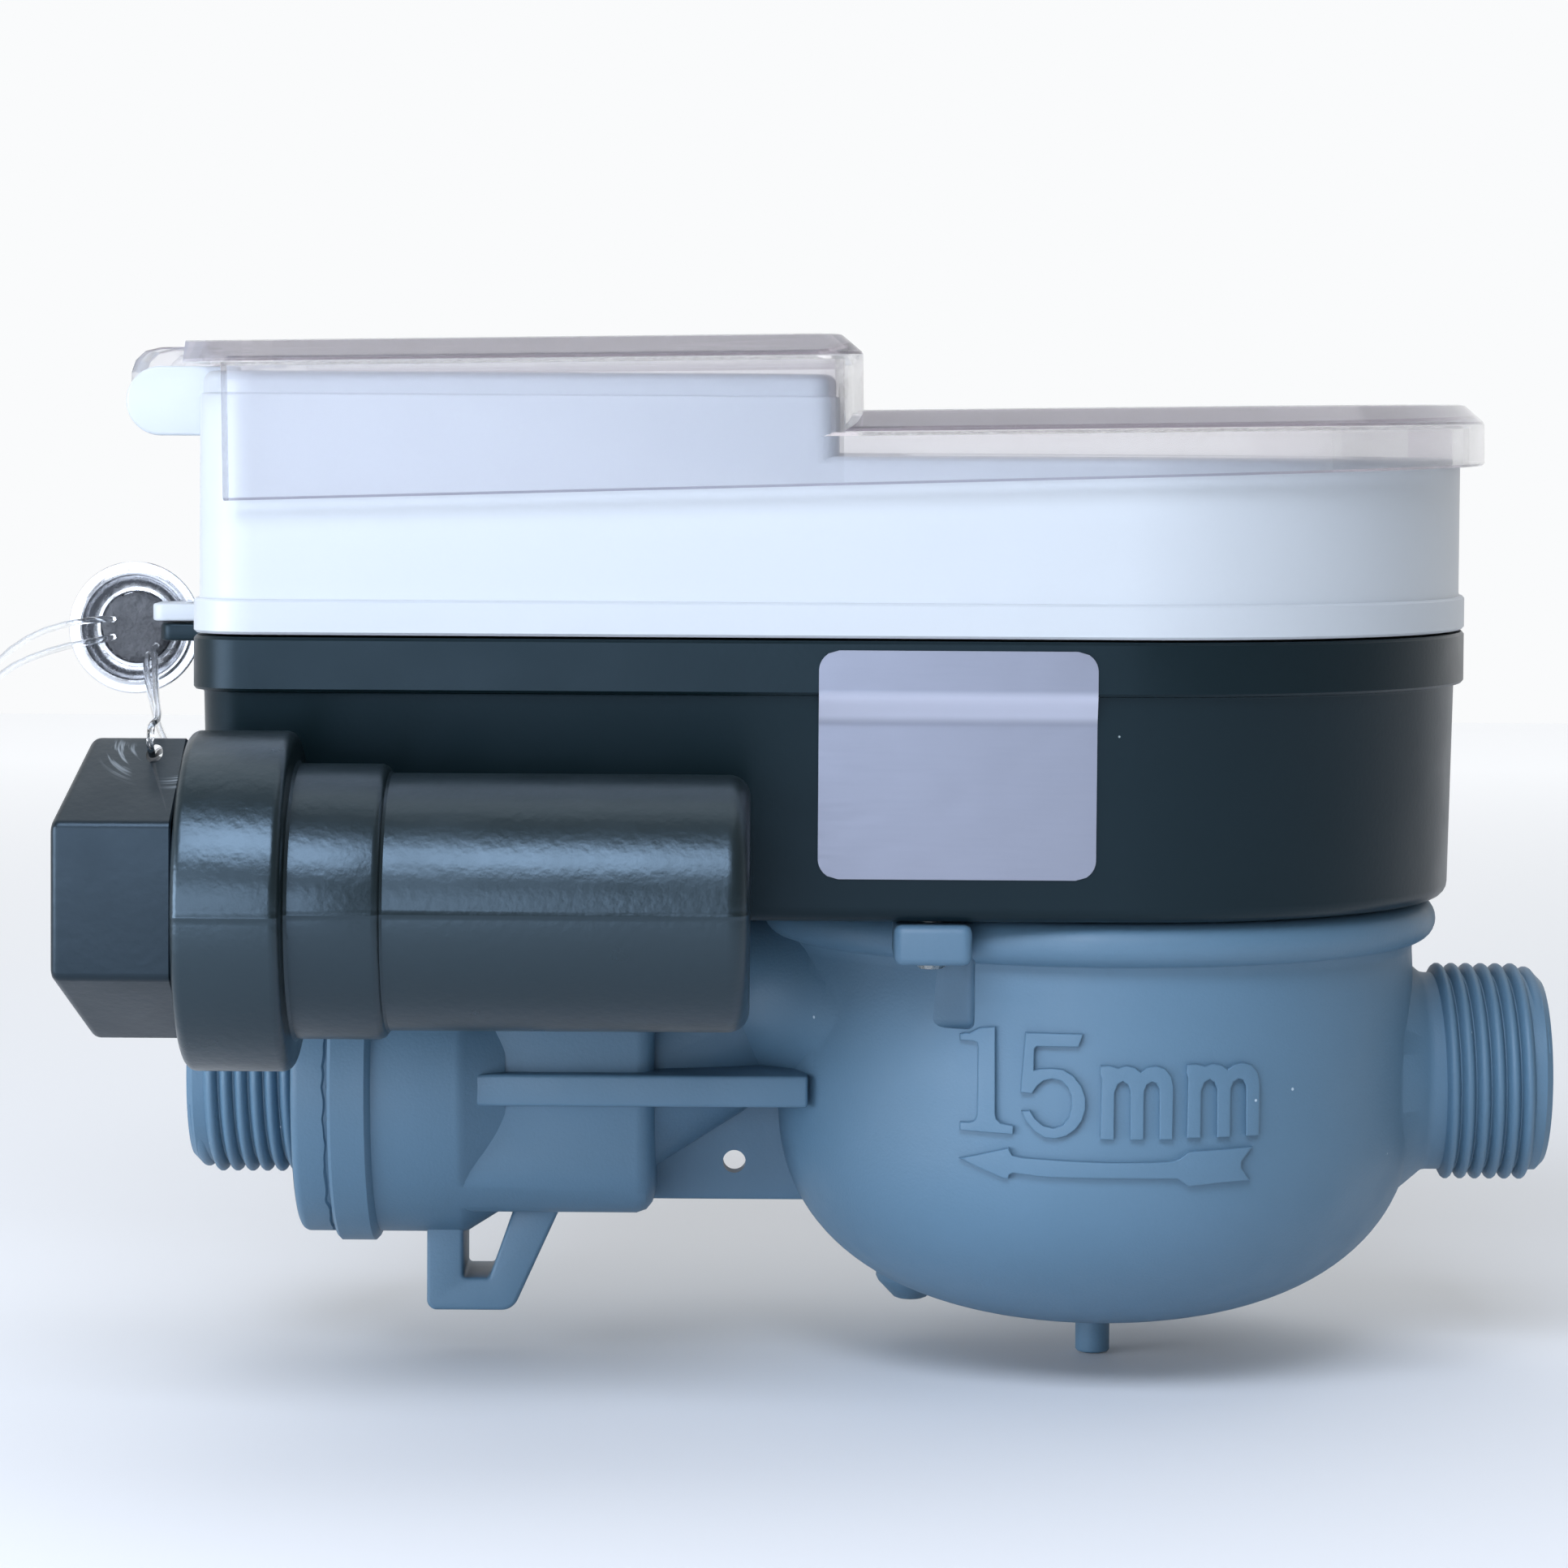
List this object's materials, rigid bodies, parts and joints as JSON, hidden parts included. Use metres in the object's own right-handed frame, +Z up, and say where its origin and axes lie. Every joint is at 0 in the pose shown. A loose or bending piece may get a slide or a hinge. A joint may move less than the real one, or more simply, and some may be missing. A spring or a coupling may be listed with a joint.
{
  "type": "water meter",
  "caption": "Water meter with threaded inlet and outlet, impeller bowl, built-in ball valve, electronic register under a hinged clear lid, side battery tube and wire seal.",
  "frame": {"origin": "centre of the inlet's end face, on the pipe axis", "axes": "+X along the pipe towards the inlet side, +Z up towards the lid, -Y the front with the battery tube"},
  "size_m": [0.1954, 0.1193, 0.1242],
  "materials": {
    "body_nylon": "grey-blue moulded glass-filled nylon, fine matte grain",
    "case_black": "satin black moulded ABS",
    "housing_white": "cool white moulded ABS, satin",
    "lid_clear": "clear polycarbonate, polished",
    "acetal": "natural acetal, moulded",
    "rubber": "black rubber",
    "steel": "bright steel",
    "brass": "plain brass",
    "ferrite": "pressed ferrite",
    "circuit_board": "green solder mask",
    "seal_aluminium": "pressed bright aluminium",
    "putty": "dull grey putty",
    "cord_nylon": "clear nylon line",
    "cell_sleeve": "green shrink sleeve on steel"
  },
  "bodies": {
    "meter": {"meter_body": "body_nylon", "outlet_end_fitting": "body_nylon", "inlet_strainer": "acetal", "measuring_chamber": "acetal", "chamber_cover": "acetal", "impeller_pivot": "steel", "sealing_plate": "acetal", "head_seal_ring": "rubber", "valve_seat_inlet": "acetal", "valve_seat_outlet": "acetal", "drive_bracket": "steel", "gear_motor": "steel", "pulse_gear_axle": "steel", "register_frame": "acetal", "battery_contact": "steel", "battery_cell": "cell_sleeve", "battery_cap_seal": "rubber", "battery_cap": "case_black", "lower_case": "case_black", "case_gasket": "rubber", "upper_housing": "housing_white", "display_window": "lid_clear", "display_module": "case_black", "main_board": "circuit_board", "radio_module": "seal_aluminium", "antenna": "brass", "hinge_pin": "steel", "lug_screw_front": "steel", "lug_screw_back": "steel", "tower_screw_front": "steel", "tower_screw_back": "steel", "seal_cup": "seal_aluminium", "seal_putty": "putty", "seal_cord_loop": "cord_nylon", "seal_cord_tail_upper": "cord_nylon", "seal_cord_tail_lower": "cord_nylon"},
    "lid": {"clear_lid": "lid_clear"},
    "impeller_wheel": {"impeller": "acetal", "drive_magnet": "ferrite"},
    "register_follower": {"follower_magnet": "ferrite", "register_spindle": "steel", "register_pinion": "acetal"},
    "pulse_wheel": {"pulse_gear": "acetal"},
    "shutter": {"valve_ball": "steel", "valve_stem": "steel", "stem_seal_ring": "rubber", "valve_gear": "acetal"},
    "shutter_pinion": {"valve_pinion": "acetal"}
  },
  "joints": [
    {"name": "lid_hinge", "type": "hinge", "parent": "meter", "child": "lid", "pos_m": [-0.1676, 0, 0.0812], "axis": [0, -1, 0], "range_deg": [-1, 110]},
    {"name": "impeller_spin", "type": "hinge", "parent": "meter", "child": "impeller_wheel", "pos_m": [-0.0546, 0, 0], "axis": [0, 0, 1], "continuous": true},
    {"name": "follower_spin", "type": "hinge", "parent": "meter", "child": "register_follower", "pos_m": [-0.0546, 0, 0.02], "axis": [0, 0, 1], "continuous": true},
    {"name": "pulse_gear_spin", "type": "hinge", "parent": "meter", "child": "pulse_wheel", "pos_m": [-0.0396, 0, 0.03], "axis": [0, 0, 1], "continuous": true},
    {"name": "valve_turn", "type": "hinge", "parent": "meter", "child": "shutter", "pos_m": [-0.1194, 0, 0], "axis": [0, 0, 1], "range_deg": [0, 90]},
    {"name": "pinion_turn", "type": "hinge", "parent": "meter", "child": "shutter_pinion", "pos_m": [-0.1024, 0, 0.03], "axis": [0, 0, 1], "range_deg": [-216, 0]}
  ],
  "couplings": [
    {"joint": "follower_spin", "follows": "impeller_spin", "ratio": 1},
    {"joint": "pulse_gear_spin", "follows": "impeller_spin", "ratio": -0.5},
    {"joint": "pinion_turn", "follows": "valve_turn", "ratio": -2.4}
  ]
}
